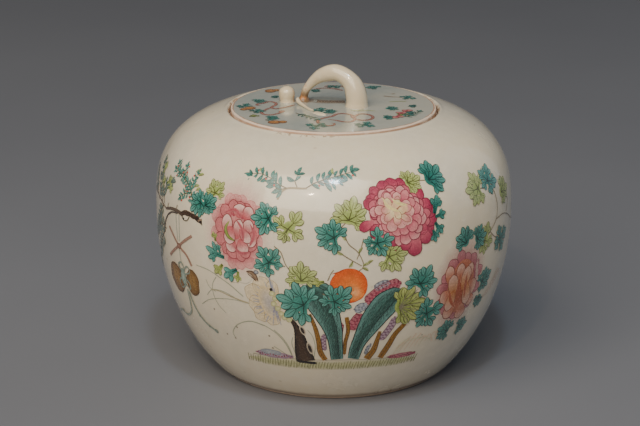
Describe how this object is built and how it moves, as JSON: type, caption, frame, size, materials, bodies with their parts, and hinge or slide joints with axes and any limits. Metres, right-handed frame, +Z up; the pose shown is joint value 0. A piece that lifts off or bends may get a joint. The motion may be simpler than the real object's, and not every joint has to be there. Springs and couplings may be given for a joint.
{
  "type": "ginger jar",
  "caption": "Squat melon-lobed covered jar in enamelled porcelain, with a flush lid sunk in its mouth and a vine-stem loop to lift it by, for keeping ginger, tea or sweetmeats.",
  "frame": {"origin": "centre of the jar's footprint, on the surface that its foot ring stands on", "axes": "+Z up along the jar's axis, -Y towards the painted front, +X to the right of someone who looks at the front"},
  "size_m": [0.219, 0.219, 0.1861],
  "materials": {
    "body_glaze": "glossy warm white glaze with overglaze enamels",
    "lid_glaze": "glossy bluish white glaze with overglaze enamels",
    "stem_glaze": "glossy ivory glaze, stained at the root",
    "biscuit": "unglazed, matt"
  },
  "bodies": {
    "jar": {"jar_body": "body_glaze"},
    "lid": {"lid_plate": "lid_glaze", "lid_flange": "biscuit", "stem_handle": "stem_glaze", "stem_stub": "stem_glaze", "tendril": "stem_glaze", "tendril_leaf": "stem_glaze"}
  },
  "joints": [
    {"name": "lid_lift", "type": "slide", "parent": "jar", "child": "lid", "axis": [0, 0, 1], "range_m": [0, 0.06]}
  ]
}
